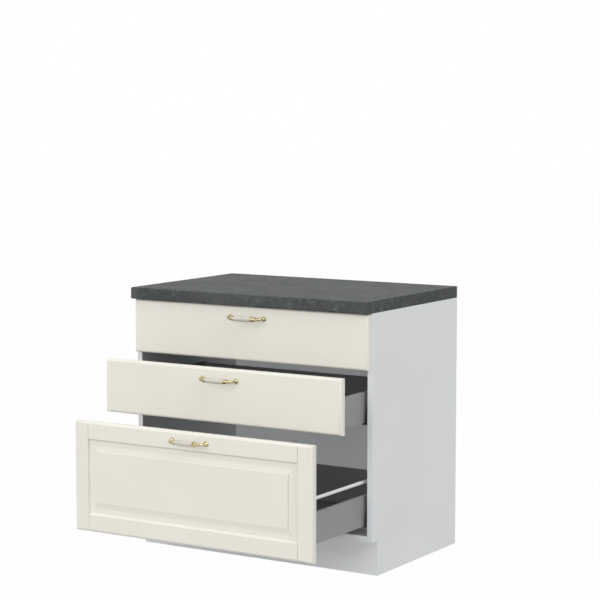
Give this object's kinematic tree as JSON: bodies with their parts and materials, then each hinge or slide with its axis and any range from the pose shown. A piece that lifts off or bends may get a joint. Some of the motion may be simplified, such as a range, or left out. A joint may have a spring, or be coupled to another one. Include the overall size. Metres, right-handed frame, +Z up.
{
  "type": "base cabinet with drawers",
  "caption": "Kitchen base cabinet with slab and framed drawer fronts, brass and porcelain bow handles, metal-sided drawers on telescopic runners and a laminate worktop.",
  "frame": {"origin": "on the floor, midway across the cabinet and midway between the wall and the bottom handle", "axes": "+X to the right seen from the room, +Y from the room to the wall, +Z up"},
  "size_m": [0.9, 0.949, 0.87],
  "materials": {
    "worktop_laminate": "matt slate-grey laminate on chipboard, fine mottled texture",
    "carcass_board": "smooth pale grey-white melamine on chipboard",
    "back_sheet": "painted hardboard sheet",
    "front_lacquer": "satin cream lacquer",
    "drawer_steel": "fine grey powder coat",
    "drawer_board": "anthracite melamine on chipboard",
    "runner_steel": "zinc-plated sheet steel",
    "aged_brass": "aged brass, satin",
    "porcelain": "glossy white glaze",
    "gallery_coat": "satin light-grey powder coat",
    "socket_plastic": "moulded grey plastic",
    "beech_dowel": "plain turned beech",
    "zinc_fastener": "zinc-plated steel"
  },
  "bodies": {
    "cabinet": {"worktop": "worktop_laminate", "side_panel_left": "carcass_board", "side_panel_right": "carcass_board", "bottom_panel": "carcass_board", "top_rail_front": "carcass_board", "top_rail_rear": "carcass_board", "plinth_panel": "carcass_board", "back_panel": "back_sheet", "carcass_dowels": "beech_dowel", "cam_bolts": "zinc_fastener", "cam_locks": "zinc_fastener", "worktop_screws": "zinc_fastener", "back_panel_nails": "zinc_fastener", "runner_screws": "zinc_fastener", "runner_rails_top": "runner_steel", "runner_rails_middle": "runner_steel", "runner_rails_bottom": "runner_steel"},
    "drawer_top": {"front_top": "front_lacquer", "drawer_side_left_top": "drawer_steel", "drawer_side_right_top": "drawer_steel", "drawer_base_top": "drawer_board", "drawer_back_top": "drawer_board", "handle_arms_top": "aged_brass", "handle_grip_top": "porcelain", "handle_screws_top": "zinc_fastener", "front_brackets_top": "zinc_fastener", "drawer_screws_top": "zinc_fastener", "runner_channels_top": "runner_steel"},
    "slides_top": {"runner_slides_top": "runner_steel"},
    "drawer_middle": {"front_middle": "front_lacquer", "drawer_side_left_middle": "drawer_steel", "drawer_side_right_middle": "drawer_steel", "drawer_base_middle": "drawer_board", "drawer_back_middle": "drawer_board", "handle_arms_middle": "aged_brass", "handle_grip_middle": "porcelain", "handle_screws_middle": "zinc_fastener", "front_brackets_middle": "zinc_fastener", "drawer_screws_middle": "zinc_fastener", "runner_channels_middle": "runner_steel"},
    "slides_middle": {"runner_slides_middle": "runner_steel"},
    "drawer_bottom": {"front_stile_left": "front_lacquer", "front_stile_right": "front_lacquer", "front_rail_top": "front_lacquer", "front_rail_bottom": "front_lacquer", "front_panel": "front_lacquer", "drawer_side_left_bottom": "drawer_steel", "drawer_side_right_bottom": "drawer_steel", "drawer_base_bottom": "drawer_board", "drawer_back_bottom": "drawer_board", "gallery_rails": "gallery_coat", "rail_sockets": "socket_plastic", "rail_posts": "socket_plastic", "handle_arms_bottom": "aged_brass", "handle_grip_bottom": "porcelain", "handle_screws_bottom": "zinc_fastener", "front_brackets_bottom": "zinc_fastener", "drawer_screws_bottom": "zinc_fastener", "runner_channels_bottom": "runner_steel"},
    "slides_bottom": {"runner_slides_bottom": "runner_steel"}
  },
  "joints": [
    {"name": "drawer_top_slide", "type": "slide", "parent": "cabinet", "child": "drawer_top", "axis": [0, -1, 0], "range_m": [0, 0.49]},
    {"name": "runner_slides_top_travel", "type": "slide", "parent": "cabinet", "child": "slides_top", "axis": [0, -1, 0], "range_m": [0, 0.245]},
    {"name": "drawer_middle_slide", "type": "slide", "parent": "cabinet", "child": "drawer_middle", "axis": [0, -1, 0], "range_m": [-0.16, 0.33]},
    {"name": "runner_slides_middle_travel", "type": "slide", "parent": "cabinet", "child": "slides_middle", "axis": [0, -1, 0], "range_m": [-0.08, 0.165]},
    {"name": "drawer_bottom_slide", "type": "slide", "parent": "cabinet", "child": "drawer_bottom", "axis": [0, -1, 0], "range_m": [-0.326, 0.164]},
    {"name": "runner_slides_bottom_travel", "type": "slide", "parent": "cabinet", "child": "slides_bottom", "axis": [0, -1, 0], "range_m": [-0.163, 0.082]}
  ],
  "couplings": [
    {"joint": "runner_slides_top_travel", "follows": "drawer_top_slide", "ratio": 0.5},
    {"joint": "runner_slides_middle_travel", "follows": "drawer_middle_slide", "ratio": 0.5},
    {"joint": "runner_slides_bottom_travel", "follows": "drawer_bottom_slide", "ratio": 0.5}
  ]
}
